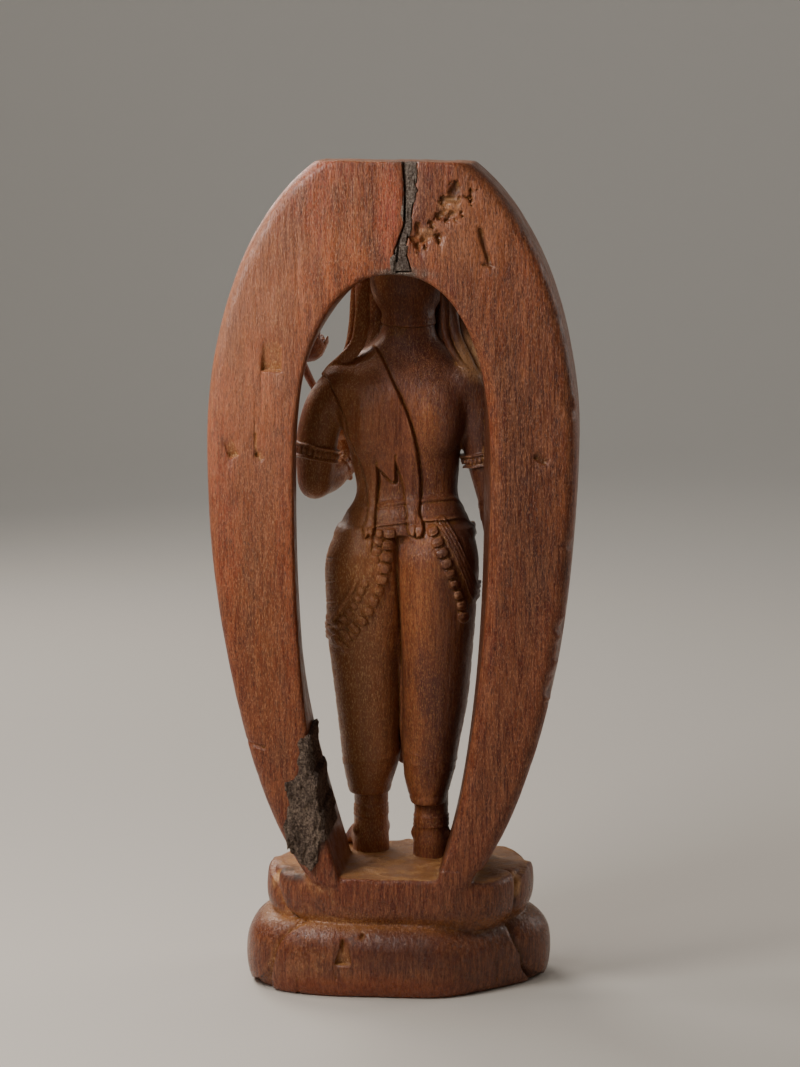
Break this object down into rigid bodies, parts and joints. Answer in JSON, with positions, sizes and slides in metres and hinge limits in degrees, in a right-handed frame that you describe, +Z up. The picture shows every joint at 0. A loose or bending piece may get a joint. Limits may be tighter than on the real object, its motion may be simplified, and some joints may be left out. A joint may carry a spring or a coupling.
{
  "type": "avalokiteshvara figure",
  "caption": "Standing carved wood bodhisattva figure on a lotus base, in front of an open almond-shaped frame with a flat cut top.",
  "frame": {"origin": "middle of the underside's bounding box, on the surface the figure stands on", "axes": "+Z up; the figure faces -Y, the flat back of the frame is at +Y; +X to the figure's own left"},
  "size_m": [0.2636, 0.141, 0.6],
  "materials": {
    "carved_wood": "oiled reddish brown hardwood, worn satin on the edges",
    "dark_pitch": "dull grey-black resinous filling, crusty and granular"
  },
  "bodies": {
    "root": {"avalokiteshvara_figure": "carved_wood", "crack_filling": "dark_pitch", "leg_patch": "dark_pitch"}
  },
  "joints": []
}
